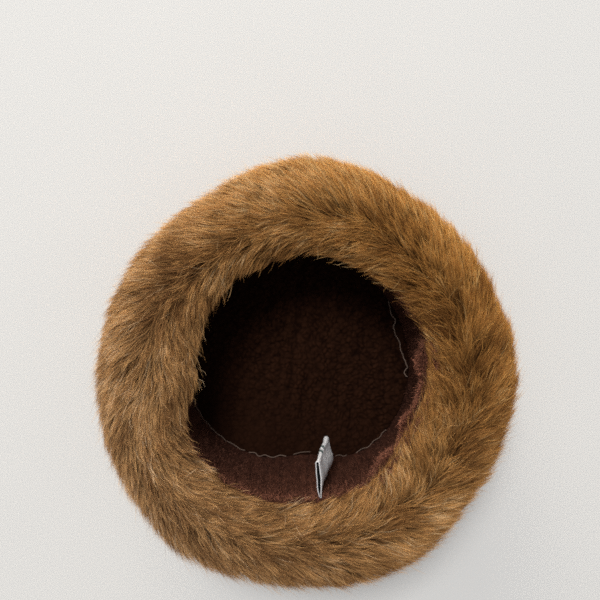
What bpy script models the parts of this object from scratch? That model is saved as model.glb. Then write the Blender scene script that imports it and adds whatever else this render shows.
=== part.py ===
# Cossack hat of deep brown fur with a plush and fleece lining.
# It rests on its crown at z = 0, with the axis along +Z and the opening facing up.
# Metres. Angles are measured from +X towards +Y, round the axis.
import math
import random

import bmesh
import bpy
import numpy as np

# Driving dimensions
LINING_DEPTH = 0.0917
LINING_WALL = 0.0030
LINING_ROLL_POINTS = 4
CROWN_FUR_THICKNESS = 0.0265
GAP = 0.0003
FUR_GAP = 0.0006
CROWN_SEAM_HEIGHT = 0.0120

# The crown seam and the rim of the lining, the mouth of the fur and how far the fur reaches
# outward, one row for each 30 degrees. The radii are in metres, and reach multiplies the side's.
ROUND_COLUMNS = ("angle", "mouth", "rim", "seam", "reach")
ROUND_ROWS = (
    (0, 0.0835, 0.0860, 0.0850, 0.995),
    (30, 0.0850, 0.0885, 0.0855, 0.970),
    (60, 0.0835, 0.0885, 0.0880, 0.985),
    (90, 0.0865, 0.0890, 0.0915, 1.025),
    (120, 0.0845, 0.0890, 0.0940, 0.972),
    (150, 0.0800, 0.0880, 0.0950, 0.985),
    (180, 0.0775, 0.0885, 0.0955, 1.000),
    (210, 0.0925, 0.0930, 0.0960, 1.012),
    (240, 0.0905, 0.0910, 0.0870, 1.018),
    (270, 0.0855, 0.0865, 0.0755, 1.008),
    (300, 0.0845, 0.0865, 0.0855, 1.020),
    (330, 0.0775, 0.0855, 0.0865, 0.982),
)

# The outer form of the fur band in cross-section, from the mouth over the rim to the crown. mouth
# and reach say how much of the changes round the hat a station follows, lock how high its locks stand.
FUR_COLUMNS = ("station", "radius", "height", "mouth", "reach", "lock")
FUR_ROWS = (
    ("mouth", 0.0830, 0.1250, 1.0, 0.0, 0.35),
    ("lip", 0.0925, 0.1350, 0.8, 0.1, 0.8),
    ("rim_top", 0.1110, 0.1380, 0.4, 0.4, 1.0),
    ("shoulder", 0.1320, 0.1270, 0.1, 0.8, 1.0),
    ("upper_side", 0.1465, 0.1040, 0.0, 1.0, 1.0),
    ("widest", 0.1505, 0.0780, 0.0, 1.0, 1.0),
    ("lower_side", 0.1465, 0.0490, 0.0, 1.0, 1.0),
    ("skirt", 0.1350, 0.0260, 0.0, 1.0, 0.9),
    ("heel", 0.1200, 0.0120, 0.0, 0.7, 0.7),
    ("crown_edge", 0.1050, 0.0090, 0.0, 0.3, 0.2),
)

# Locks of fur
FUR_LOCKS_ROUND = 56
LOCK_HEIGHT = 0.0044
LOCK_TIP_SHIFT = 0.0040
LOCK_SMALLEST = 0.55
LOCK_LARGEST = 1.25
ROWS_PER_LOCK = 3
MOUTH_LOCK_ROWS = 2
SIDE_LOCK_ROWS = 8
FUR_BACKING_ROWS = 5
PARTING_STATION = 1.6
# Tips are drawn out along the fur only between these stations, clear of the mouth and the crown
FIRST_DRAWN_STATION = 0.5
LAST_DRAWN_STATION = 8.0
LEAN_AT_PARTING = 0.85
LEAN_AT_CROWN = 0.30
# Height of the three mesh rows of a lock, from root to tip, on its ridge and in its valley
RIDGE_HEIGHTS = (0.35, 0.80, 1.00)
VALLEY_HEIGHTS = (0.15, 0.08, 0.00)

# Crown fur
CROWN_LOCKS_ROUND = 32
# Its edge in cross-section: how far it spreads past the seam, and how far its locks stick out
CROWN_EDGE_COLUMNS = ("spread", "height", "lock")
CROWN_EDGE_ROWS = (
    (0.0000, 0.0120, 0.0),
    (0.0020, 0.0095, 0.3),
    (0.0065, 0.0062, 1.0),
    (0.0085, 0.0035, 1.0),
    (0.0060, 0.0009, 0.5),
    (-0.0040, 0.0000, 0.0),
)
CROWN_LOCK_LENGTH = 0.0030

# Care label: a ribbon folded into a loop, sewn in along the lining beside its join
LABEL_THICKNESS = 0.0010
LABEL_WIDTH = 0.0370
LABEL_NEAR_HEIGHT = 0.1165
LABEL_LAYER_GAP = 0.0018
LABEL_FOOT_CLEARANCE = 0.0009
LABEL_WIDTH_STEPS = 4
# Across the sewn line: where the foot, the fold and the belly of the right layer lie, at the edge
# nearest the opening and at the far edge
LABEL_COLUMNS = ("edge", "foot_x", "fold_x", "fold_y", "belly")
LABEL_ROWS = (
    ("near", 0.0088, 0.0070, -0.0590, 0.0012),
    ("far", 0.0095, 0.0150, -0.0500, 0.0075),
)
LABEL_LEFT_POINTS = 5
LABEL_FOLD_POINTS = 3
LABEL_RIGHT_POINTS = 7

LINING_COLUMNS_ROUND = 56
CROWN_LINING_THICKNESS = 0.0030
LINING_WALL_ROWS = 4

COLOURS = {
    "fur_band": (0.262, 0.138, 0.056),
    "crown_fur": (0.250, 0.130, 0.052),
    "side_lining": (0.052, 0.020, 0.016),
    "crown_lining": (0.034, 0.014, 0.009),
    "care_label": (0.640, 0.640, 0.650),
}


def table(columns, rows):
    """The rows of a table as dictionaries, by column name."""
    return [dict(zip(columns, row)) for row in rows]


ROUND = table(ROUND_COLUMNS, ROUND_ROWS)
FUR = table(FUR_COLUMNS, FUR_ROWS)
CROWN_EDGE = table(CROWN_EDGE_COLUMNS, CROWN_EDGE_ROWS)
LABEL = table(LABEL_COLUMNS, LABEL_ROWS)
# A small step in stations or radians, for directions that lie in the fur's surface
SMALL_STEP = 0.01
TURN_STEPS = 40


def smooth_between(before, start, end, after, share):
    """The Catmull-Rom curve through four values, at a share of the way from start to end."""
    slope_in = (end - before) / 2
    slope_out = (after - start) / 2
    rise = end - start
    return (
        start
        + slope_in * share
        + (3 * rise - 2 * slope_in - slope_out) * share**2
        + (slope_in + slope_out - 2 * rise) * share**3
    )


def round_the_hat(column, angle):
    """A column of the ROUND table at an angle in radians, smooth and closed round the hat."""
    place = (angle % math.tau) / math.tau * len(ROUND)
    row = int(place) % len(ROUND)
    near = [ROUND[(row + step) % len(ROUND)][column] for step in (-1, 0, 1, 2)]
    return smooth_between(*near, place - int(place))


def along_the_fur(column, station):
    """A column of the FUR table at a station, counted in rows from 0 and smooth in between."""
    last = len(FUR) - 1
    row = min(int(station), last - 1)
    near = [FUR[min(max(row + step, 0), last)][column] for step in (-1, 0, 1, 2)]
    return smooth_between(*near, station - row)


def polar(radius, angle, height):
    return np.array((radius * math.cos(angle), radius * math.sin(angle), height))


def lining_top():
    return CROWN_FUR_THICKNESS + GAP + LINING_DEPTH + LINING_WALL


def lining_radius(angle, height):
    """The inner face of the side lining, which runs straight from the crown seam to the rim."""
    rise = (height - CROWN_FUR_THICKNESS) / (lining_top() - CROWN_FUR_THICKNESS)
    share = min(max(rise, 0.0), 1.0)
    seam = round_the_hat("seam", angle)
    return seam + (round_the_hat("rim", angle) - seam) * share


def fur_surface(station, angle):
    """A point on the outer form of the fur band, before its locks are raised."""
    mouth_change = round_the_hat("mouth", angle) - FUR[0]["radius"]
    reach_change = round_the_hat("reach", angle) - 1
    radius = along_the_fur("radius", station)
    radius += along_the_fur("mouth", station) * mouth_change
    radius += along_the_fur("reach", station) * reach_change * radius
    return polar(radius, angle, along_the_fur("height", station))


def fur_normal(station, angle):
    """The outward direction there, from the two directions that lie in the surface."""
    before = max(station - SMALL_STEP, 0)
    along = fur_surface(station + SMALL_STEP, angle) - fur_surface(before, angle)
    across = fur_surface(station, angle + SMALL_STEP) - fur_surface(station, angle - SMALL_STEP)
    normal = np.cross(along, across)
    return normal / np.linalg.norm(normal)


def fur_direction(station, angle, away):
    """The way the fur lies: away from the parting, down the side or into the mouth, and round the hat."""
    onward = fur_surface(station + SMALL_STEP * away, angle) - fur_surface(station, angle)
    sideways = polar(1, angle + math.pi / 2, 0) * lean_at(station)
    direction = onward / np.linalg.norm(onward) + sideways
    return direction / np.linalg.norm(direction)


def lean_at(station):
    """How far the fur runs sideways for each metre that it runs away from its parting."""
    side = max(station - PARTING_STATION, 0) / (len(FUR) - 1 - PARTING_STATION)
    return LEAN_AT_PARTING + (LEAN_AT_CROWN - LEAN_AT_PARTING) * side


def turn_from_parting(station):
    """The angle by which the fur has swept round the hat at a station, on its way from the parting."""
    stations = np.linspace(PARTING_STATION, station, TURN_STEPS + 1)
    turn = 0.0
    for start, end in zip(stations, stations[1:]):
        run = fur_surface(end, 0.0) - fur_surface(start, 0.0)
        radius = along_the_fur("radius", (start + end) / 2)
        turn += lean_at(end) * float(np.linalg.norm(run)) / radius
    return turn


def loft(name, rings, closed=True):
    """A mesh object from rings of points with the same count, each bridged to the next one."""
    mesh = bmesh.new()
    loops = [[mesh.verts.new(point) for point in ring] for ring in rings]
    pairs = list(zip(loops, loops[1:]))
    if closed:
        pairs.append((loops[-1], loops[0]))
    for first, second in pairs:
        count = len(first)
        for index in range(count):
            after = (index + 1) % count
            mesh.faces.new((first[index], first[after], second[after], second[index]))
    if not closed:
        mesh.faces.new(reversed(loops[0]))
        mesh.faces.new(loops[-1])
    return finish(name, mesh)


def finish(name, mesh):
    """Puts a bmesh into the scene as a triangulated, smooth-shaded object that faces out."""
    bmesh.ops.recalc_face_normals(mesh, faces=mesh.faces)
    bmesh.ops.triangulate(mesh, faces=mesh.faces)
    data = bpy.data.meshes.new(name)
    mesh.to_mesh(data)
    mesh.free()
    data.shade_smooth()
    data.set_sharp_from_angle(angle=math.radians(50))
    part = bpy.data.objects.new(name, data)
    bpy.context.collection.objects.link(part)
    data.materials.append(material(name))
    return part


def material(name):
    cloth = bpy.data.materials.new(name)
    cloth.use_nodes = True
    shader = cloth.node_tree.nodes["Principled BSDF"]
    shader.inputs["Base Color"].default_value = (*COLOURS[name], 1)
    shader.inputs["Roughness"].default_value = 0.9
    shader.inputs["Metallic"].default_value = 0.0
    return cloth


def fur_stations():
    """The station of each mesh row of the furry side, with its row in its lock and its lock's number.

    Locks grow both ways from the parting: over the rim into the mouth, and down the side."""
    rows = []
    mouth_rows = MOUTH_LOCK_ROWS * ROWS_PER_LOCK
    for row in range(mouth_rows, 0, -1):
        station = PARTING_STATION * (1 - row / mouth_rows)
        rows.append((station, (row - 1) % ROWS_PER_LOCK, -1 - (row - 1) // ROWS_PER_LOCK))
    side_rows = SIDE_LOCK_ROWS * ROWS_PER_LOCK
    last = len(FUR) - 1
    for row in range(side_rows):
        station = PARTING_STATION + (last - PARTING_STATION) * row / (side_rows - 1)
        rows.append((station, row % ROWS_PER_LOCK, row // ROWS_PER_LOCK))
    return rows


def fur_band():
    """The band of deep fur: a closed ring round the lining, with shingled locks over its outside."""
    chance = random.Random(12)
    count = 2 * FUR_LOCKS_ROUND
    sizes = {}
    rings = []
    for station, row, lock in fur_stations():
        turn = turn_from_parting(station)
        away = 1 if station > PARTING_STATION else -1
        ring = []
        for index in range(count):
            angle = math.tau * index / count + turn
            on_ridge = (index + lock) % 2 == 0
            size = sizes.setdefault((index, lock), chance.uniform(LOCK_SMALLEST, LOCK_LARGEST))
            height = RIDGE_HEIGHTS[row] * size if on_ridge else VALLEY_HEIGHTS[row]
            height *= LOCK_HEIGHT * along_the_fur("lock", station)
            point = fur_surface(station, angle) + fur_normal(station, angle) * height
            is_tip = on_ridge and row == ROWS_PER_LOCK - 1
            if is_tip and FIRST_DRAWN_STATION < station < LAST_DRAWN_STATION:
                point = point + fur_direction(station, angle, away) * LOCK_TIP_SHIFT * size
            ring.append(point)
        rings.append(ring)
    rings.extend(fur_backing_rings(count))
    return loft("fur_band", rings)


def fur_backing_rings(count):
    """The inner face of the fur band, from the crown seam up the lining and under the lip."""
    first_turn = turn_from_parting(len(FUR) - 1)
    last_turn = turn_from_parting(0)
    under_lip = lining_top() + FUR_GAP
    heights = (CROWN_SEAM_HEIGHT, *np.linspace(CROWN_FUR_THICKNESS, under_lip, FUR_BACKING_ROWS))
    rings = []
    for row, height in enumerate(heights):
        turn = first_turn + (last_turn - first_turn) * row / (len(heights) - 1)
        ring = []
        for index in range(count):
            angle = math.tau * index / count + turn
            radius = lining_radius(angle, height) + LINING_WALL + FUR_GAP
            ring.append(polar(radius, angle, height))
        rings.append(ring)
    return rings


def crown_fur():
    """The round fur crown: pressed flat underneath, with short locks round its edge."""
    chance = random.Random(5)
    count = 2 * CROWN_LOCKS_ROUND
    rings = []
    for row, station in enumerate(CROWN_EDGE):
        ring = []
        for index in range(count):
            angle = math.tau * index / count
            on_ridge = (index + row) % 2 == 0
            lock = CROWN_LOCK_LENGTH * station["lock"] * chance.uniform(LOCK_SMALLEST, 1.0)
            radius = round_the_hat("seam", angle) + LINING_WALL + station["spread"]
            ring.append(polar(radius + lock * on_ridge, angle, station["height"]))
        rings.append(ring)
    top = [(x, y, CROWN_FUR_THICKNESS) for x, y, _ in rings[0]]
    return loft("crown_fur", [top, *rings], closed=False)


def side_lining():
    """The plush wall from the crown seam to the rim, whose top edge is rolled over."""
    bottom = CROWN_FUR_THICKNESS + GAP
    top = lining_top()
    roll = LINING_WALL / 2
    # Each station is a height and a share of the wall's thickness, up the inside and down the outside
    stations = [(height, 0.0) for height in np.linspace(bottom, top - roll, LINING_WALL_ROWS + 1)]
    for point in range(1, LINING_ROLL_POINTS):
        around = math.pi * point / LINING_ROLL_POINTS
        stations.append((top - roll + roll * math.sin(around), 0.5 - 0.5 * math.cos(around)))
    stations += [(height, 1.0) for height in np.linspace(top - roll, bottom, LINING_WALL_ROWS + 1)]
    rings = []
    for height, share in stations:
        ring = []
        for index in range(LINING_COLUMNS_ROUND):
            angle = math.tau * index / LINING_COLUMNS_ROUND
            radius = lining_radius(angle, height) + LINING_WALL * share
            ring.append(polar(radius, angle, height))
        rings.append(ring)
    return loft("side_lining", rings)


def crown_lining():
    """The fleece disc inside the crown seam."""
    bottom = CROWN_FUR_THICKNESS + GAP
    rings = []
    for height in (bottom, bottom + CROWN_LINING_THICKNESS):
        ring = []
        for index in range(LINING_COLUMNS_ROUND):
            angle = math.tau * index / LINING_COLUMNS_ROUND
            radius = round_the_hat("seam", angle) - GAP
            ring.append(polar(radius, angle, height))
        rings.append(ring)
    return loft("crown_lining", rings, closed=False)


def label_path(share):
    """The loop of the ribbon at a share of its width, from the left foot over the fold to the right."""
    near, far = LABEL
    at = {name: near[name] + (far[name] - near[name]) * share for name in LABEL_COLUMNS[1:]}
    height = LABEL_NEAR_HEIGHT - LABEL_WIDTH * share
    foot_angle = math.atan2(-round_the_hat("rim", -math.pi / 2), at["foot_x"])
    wall = lining_radius(foot_angle, height) - LABEL_FOOT_CLEARANCE
    foot = np.array((at["foot_x"], -math.sqrt(wall**2 - at["foot_x"] ** 2)))
    fold = np.array((at["fold_x"], at["fold_y"]))
    run = fold - foot
    along = run / np.linalg.norm(run)
    across = np.array((along[1], -along[0]))
    half = LABEL_LAYER_GAP / 2
    points = []
    for step in np.linspace(0, 1, LABEL_LEFT_POINTS):
        points.append(foot + run * step - across * half)
    for step in range(1, LABEL_FOLD_POINTS + 1):
        around = math.pi * step / (LABEL_FOLD_POINTS + 1)
        points.append(fold + half * (math.sin(around) * along - math.cos(around) * across))
    for step in np.linspace(1, 0, LABEL_RIGHT_POINTS):
        bulge = half + at["belly"] * math.sin(math.pi * step) ** 1.5
        points.append(foot + run * step + across * bulge)
    return [(x, y, height) for x, y in points]


def care_label():
    """A strip with the ribbon's thickness, wrapped along the loop and open at both side edges."""
    mesh = bmesh.new()
    shares = np.linspace(0, 1, LABEL_WIDTH_STEPS)
    strips = [[mesh.verts.new(point) for point in label_path(share)] for share in shares]
    for first, second in zip(strips, strips[1:]):
        for index in range(len(first) - 1):
            corners = (first[index], first[index + 1], second[index + 1], second[index])
            mesh.faces.new(corners)
    bmesh.ops.recalc_face_normals(mesh, faces=mesh.faces)
    part = finish("care_label", mesh)
    wall = part.modifiers.new("ribbon_thickness", "SOLIDIFY")
    wall.thickness = LABEL_THICKNESS
    wall.offset = 0
    wall.use_even_offset = True
    return part


def build():
    for old in list(bpy.data.objects):
        bpy.data.objects.remove(old, do_unlink=True)
    hat = bpy.data.objects.new("cossack_hat", None)
    bpy.context.collection.objects.link(hat)
    for part in (fur_band(), crown_fur(), side_lining(), crown_lining(), care_label()):
        part.parent = hat


build()
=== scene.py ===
import math

import bpy
import numpy as np
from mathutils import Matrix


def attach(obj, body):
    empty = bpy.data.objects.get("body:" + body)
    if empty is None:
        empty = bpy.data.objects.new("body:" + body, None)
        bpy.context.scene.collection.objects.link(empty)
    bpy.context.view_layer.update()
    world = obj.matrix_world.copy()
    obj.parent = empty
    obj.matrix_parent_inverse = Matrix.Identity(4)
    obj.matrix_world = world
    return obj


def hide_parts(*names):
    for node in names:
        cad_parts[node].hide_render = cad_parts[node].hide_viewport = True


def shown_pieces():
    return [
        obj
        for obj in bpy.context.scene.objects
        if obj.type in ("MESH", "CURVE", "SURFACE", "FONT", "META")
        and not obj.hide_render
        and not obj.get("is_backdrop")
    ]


# Fur cossack hat, resting on its crown with the opening up.
# Metres in the CAD frame, and angles turn from +X towards +Y.

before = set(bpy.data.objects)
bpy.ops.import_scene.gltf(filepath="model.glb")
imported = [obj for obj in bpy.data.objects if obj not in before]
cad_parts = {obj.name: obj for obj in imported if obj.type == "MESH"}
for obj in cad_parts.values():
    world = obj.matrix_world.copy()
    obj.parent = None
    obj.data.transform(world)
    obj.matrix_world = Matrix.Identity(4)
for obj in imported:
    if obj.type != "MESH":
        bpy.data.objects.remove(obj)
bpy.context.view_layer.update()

fullTurn = 2 * math.pi

# The forms that the CAD gives, one row for each 30 degrees round the hat
hatForm = {
    "mouth": (.0835, .0850, .0835, .0865, .0845, .0800, .0775, .0925, .0905, .0855, .0845, .0775),
    "rim": (.0860, .0885, .0885, .0890, .0890, .0880, .0885, .0930, .0910, .0865, .0865, .0855),
    "seam": (.0850, .0855, .0880, .0915, .0940, .0950, .0955, .0960, .0870, .0755, .0855, .0865),
    "reach": (.995, .970, .985, 1.025, .972, .985, 1.000, 1.012, 1.018, 1.008, 1.020, .982),
    "crownFur": .0265,  # thickness of the fur under the crown
    "gap": .0003,
    "furGap": .0006,
    "liningWall": .0030,
    "liningDepth": .0917,
    "crownSeam": .0120,
}

# Cross-section of the fur band from the mouth over the rim to the crown, one row for each station
furForm = {
    "radius": (.0830, .0925, .1110, .1320, .1465, .1505, .1465, .1350, .1200, .1050),
    "height": (.1250, .1350, .1380, .1270, .1040, .0780, .0490, .0260, .0120, .0090),
    "mouth": (1, .8, .4, .1, 0, 0, 0, 0, 0, 0),  # shares of the mouth's and the reach's changes
    "reach": (0, .1, .4, .8, 1, 1, 1, 1, .7, .3),
    # depth of the backing cloth
    "skin": (.0015, .0050, .0075, .0085, .0085, .0085, .0085, .0070, .0040, .0015),
}

# How the fur lies: its parting by station, and its lean in degrees from straight round the hat
furFlow = {
    "parting": (1.9, 1.7, 1.9, 1.5, 1.4, 1.7, 2.2, 2.5, 2.1, 1.9, 1.65, 2.2),
    "outside": (36, 24, 28, 35, 33, 40, 30, 12, 14, 20, 30, 40),
    "inside": (26, 24, 20, 20, 18, 12, 6, 12, 15, 15, 30, 32),
    # the last station that tips reach, below 0 where they pass the mouth
    "lastStation": (-.05, .10, -.05, -.30, -.30, -.35, -.35, -.10, -.15, -.20, -.15, -.02),
    # where the fur draws back: angle, half width, by how many stations
    "opened": ((-26, 14, .16), (7, 9, .30), (-51, 7, .12)),
    "underside": 66,  # lean below the widest station, reached from one station on, over so many
    "belowFrom": 3.9,
    "belowOver": 2.4,
    "swirl": (13, 9),  # slow and quick wander of the lean
    "partingBlend": .42,
    "partingWander": .34,
}


# Catmull-Rom curve through evenly spaced values: a cubic in the share of the way between two of them, whose
# slope at each is half the difference of its neighbours. Before its first value an open curve runs straight.
def smoothThrough(values, place, closed=False):
    values = np.asarray(values, float)
    place = np.asarray(place, float)
    row = np.floor(place).astype(int)
    if not closed:
        row = np.clip(row, 0, len(values) - 2)
    share = np.clip(place - row, 0, 1)

    def near(step):
        if closed:
            return values[(row + step) % len(values)]
        return values[np.clip(row + step, 0, len(values) - 1)]

    before, start, end, after = (near(step) for step in (-1, 0, 1, 2))
    slopeIn, slopeOut, rise = (end - before) / 2, (after - start) / 2, end - start
    curve = start + slopeIn * share + (3 * rise - 2 * slopeIn - slopeOut) * share ** 2
    curve = curve + (slopeIn + slopeOut - 2 * rise) * share ** 3
    return curve + slopeIn * np.minimum(place - row, 0)


def roundHat(values, angle):
    return smoothThrough(values, (angle % fullTurn) / fullTurn * len(values), closed=True)


# Angle from a place to another, the short way round
def apartFrom(angle, place):
    return (angle - place + math.pi) % fullTurn - math.pi


# Smooth step of a share: flat at 0 and at 1
def eased(share):
    return share * share * (3 - 2 * share)


def polar(radius, angle, height):
    radius, angle, height = np.broadcast_arrays(radius, angle, height)
    return np.stack((radius * np.cos(angle), radius * np.sin(angle), height), axis=-1)


def unit(vectors):
    return vectors / np.maximum(np.linalg.norm(vectors, axis=-1, keepdims=True), 1e-12)


# Outer form of the fur: the cross-section's radius, plus its share of the mouth's and the reach's changes
def furPoint(station, angle):
    radius = smoothThrough(furForm["radius"], station)
    wider = roundHat(hatForm["mouth"], angle) - furForm["radius"][0]
    further = roundHat(hatForm["reach"], angle) - 1
    mouthShare = smoothThrough(furForm["mouth"], station)
    reachShare = smoothThrough(furForm["reach"], station)
    radius = radius + mouthShare * wider + reachShare * further * radius
    return polar(radius, angle, smoothThrough(furForm["height"], station))


# Two steps along the form give its tangents, away from the mouth and round the hat. The normal, minus the
# cross product of round and away, points out.
def furFrame(station, angle, step=.01):
    away = (furPoint(station + step, angle) - furPoint(station - step, angle)) / (2 * step)
    around = (furPoint(station, angle + step) - furPoint(station, angle - step)) / (2 * step)
    return away, around, unit(np.cross(around, away)) * -1


# Inner face of the side lining: straight from the crown seam to the rim
def liningTop():
    return hatForm["crownFur"] + hatForm["gap"] + hatForm["liningDepth"] + hatForm["liningWall"]


def liningRadius(angle, height):
    share = np.clip((height - hatForm["crownFur"]) / (liningTop() - hatForm["crownFur"]), 0, 1)
    seam = roundHat(hatForm["seam"], angle)
    return seam + (roundHat(hatForm["rim"], angle) - seam) * share


# Smooth noise between -1 and 1: the mean of sine waves in random directions, about size metres long
def softNoise(points, size, seed, waves=7):
    chance = np.random.default_rng(seed)
    total = 0
    for _ in range(waves):
        direction = unit(chance.normal(size=3))
        length = size * chance.uniform(.7, 1.5)
        total = total + np.sin(points @ direction * fullTurn / length + chance.uniform(0, fullTurn))
    return total / waves * 1.6


# Station of the parting: by angle, and wandering over a few centimetres
def furParting(angle, points):
    return roundHat(furFlow["parting"], angle) + furFlow["partingWander"] * softNoise(points, .038, 13)


# Lean of the fur in radians: minus the inside lean before the parting, the outside lean after it
def furLean(station, angle, points):
    parting = furParting(angle, points)
    outside = roundHat(furFlow["outside"], angle)
    inside = roundHat(furFlow["inside"], angle)
    across = .5 + .5 * np.tanh((station - parting) / furFlow["partingBlend"])
    below = eased(np.clip((station - furFlow["belowFrom"]) / furFlow["belowOver"], 0, 1))
    outside = outside + (furFlow["underside"] - outside) * below
    lean = -inside + (outside + inside) * across
    slow, quick = furFlow["swirl"]
    lean = lean + slow * softNoise(points, .055, 3) + quick * softNoise(points, .017, 4)
    return np.radians(lean)


# How many stations the fur draws back from the mouth: flat-topped bells round the hat
def furOpened(angle):
    total = 0
    for place, halfWidth, stations in furFlow["opened"]:
        apart = np.degrees(apartFrom(angle, math.radians(place)))
        total = total + stations * np.exp(-(apart / halfWidth) ** 4)
    return total


# Each strand takes equal steps along the flow. At each, station and angle move by the step's two parts, each
# divided by how far one station or one radian reaches there. The height over the form rises as share ** rise.
def growStrands(station, angle, length, turn, curl, tipHeight, rows, past=0, rise=.75):
    stationAt, angleAt, paths, normals = station.copy(), angle.copy(), [], []
    depth = -smoothThrough(furForm["skin"], np.clip(station, 0, 9)) - .0004
    lastStation = roundHat(furFlow["lastStation"], angle) + .8 * furOpened(angle) - past
    for row in range(rows):
        away, around, normal = furFrame(stationAt, angleAt)
        ground = furPoint(stationAt, angleAt)
        share = row / (rows - 1)
        height = depth + (tipHeight - depth) * share ** rise
        paths.append(ground + normal * height[:, None])
        normals.append(normal)
        lean = furLean(stationAt, angleAt, ground) + turn + curl * (share - .4)
        step = length / (rows - 1)
        stationAt = stationAt + step * np.sin(lean) / np.linalg.norm(away, axis=-1)
        angleAt = angleAt + step * np.cos(lean) / np.linalg.norm(around, axis=-1)
        stationAt = np.clip(stationAt, lastStation - .5 * (station - lastStation) * (1 - share), 9.4)
        stationAt = np.maximum(stationAt, lastStation)
    return np.stack(paths, axis=1), np.stack(normals, axis=1)


# A mesh from whole arrays: its points, the corners of all its faces, where each face starts, and a UV for
# each corner
def arrayMesh(name, points, corners, starts, uv=None):
    mesh = bpy.data.meshes.new(name)
    mesh.vertices.add(points.size // 3)
    mesh.vertices.foreach_set("co", points.astype(np.float32).ravel())
    mesh.loops.add(corners.size)
    mesh.loops.foreach_set("vertex_index", corners.astype(np.int32).ravel())
    mesh.polygons.add(starts.size)
    mesh.polygons.foreach_set("loop_start", starts.astype(np.int32).ravel())
    mesh.update(calc_edges=True)
    if uv is not None:
        layer = mesh.uv_layers.new(name="UVMap")
        layer.data.foreach_set("uv", uv.astype(np.float32).ravel())
    mesh.shade_smooth()
    return mesh


# Every copy of a small pattern of faces, with its own points and UV
def patternMesh(name, points, pattern, uv):
    copies, perCopy = points.shape[:2]
    corners = np.array([corner for face in pattern for corner in face])
    sizes = np.array([len(face) for face in pattern])
    starts = np.concatenate(([0], np.cumsum(sizes)[:-1]))
    first = np.arange(copies)[:, None]
    return arrayMesh(name, points, first * perCopy + corners, first * len(corners) + starts, uv[:, corners])


# Ribbons along centre lines: the edges stand half a width to each side of the line, and end in a tip point.
# UV: u is the strand's tone, and v runs from the value given for its root to 1 at the tip.
def strandMesh(name, paths, normals, width, roll, tone, root=0):
    copies, rows = paths.shape[:2]
    tone = np.clip(tone, .02, .98)
    tangent = unit(np.gradient(paths, axis=1))
    side = unit(np.cross(tangent, normals))
    up = np.cross(side, tangent)
    side = side * np.cos(roll)[:, None, None] + up * np.sin(roll)[:, None, None]
    share = np.linspace(0, 1, rows)
    half = width[:, None] / 2 * (1 - .75 * share ** 2)
    left = paths - side * half[..., None]
    right = paths + side * half[..., None]
    edges = np.stack((left, right), axis=2)[:, :-1].reshape(copies, -1, 3)
    points = np.concatenate((edges, paths[:, -1:]), axis=1)
    pattern = [(2 * row, 2 * row + 1, 2 * row + 3, 2 * row + 2) for row in range(rows - 2)]
    pattern.append((2 * rows - 4, 2 * rows - 3, 2 * rows - 2))
    along = root + (1 - root) * np.append(np.repeat(share[:-1], 2), 1)
    uv = np.stack(np.broadcast_arrays(tone[:, None], along[None, :]), axis=-1)
    return patternMesh(name, points, pattern, uv)


# The four corners of each cell of a grid, of point numbers or of places
def cellsOf(grid):
    return np.stack((grid[:-1, :-1], grid[1:, :-1], grid[1:, 1:], grid[:-1, 1:]), axis=2)


def pointNumbers(rows, columns):
    return np.arange(rows * columns).reshape(rows, columns)


# A grid of points as quads, closed round where asked
def gridMesh(name, points, closedU=False, closedV=False, uv=None):
    index = pointNumbers(*points.shape[:2])
    if closedU:
        index = np.concatenate((index, index[:1]), axis=0)
    if closedV:
        index = np.concatenate((index, index[:, :1]), axis=1)
    quads = cellsOf(index).reshape(-1, 4)
    return arrayMesh(name, points, quads, np.arange(0, quads.size, 4), uv)


# Rings of points as quads closed round, with one face over the first ring and one over the last
def endedMesh(name, points):
    index = pointNumbers(*points.shape[:2])
    index = np.concatenate((index, index[:, :1]), axis=1)
    quads = cellsOf(index).reshape(-1, 4)
    ends = [index[0, :-1].tolist(), index[-1, :-1].tolist()[::-1]]
    mesh = bpy.data.meshes.new(name)
    mesh.from_pydata(points.reshape(-1, 3).tolist(), [], quads.tolist() + ends)
    mesh.shade_smooth()
    return mesh


# UV that covers a grid of so many rows and columns of quads once
def gridUv(rows, columns):
    u, v = np.meshgrid(np.arange(rows + 1) / rows, np.arange(columns + 1) / columns, indexing="ij")
    return cellsOf(np.stack((u, v), axis=-1)).reshape(-1, 2)


def ringMesh(name, points):
    return gridMesh(name, points, closedU=True, closedV=True, uv=gridUv(*points.shape[:2]))


# An object in the scene, at the origin
def linked(name, data):
    made = bpy.data.objects.new(name, data)
    bpy.context.scene.collection.objects.link(made)
    return made


def putIn(name, mesh, finish, replaced=()):
    piece = linked(name, mesh)
    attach(piece, "root")
    if replaced:
        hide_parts(*replaced)
    mesh.materials.append(finish)
    return piece


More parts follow.
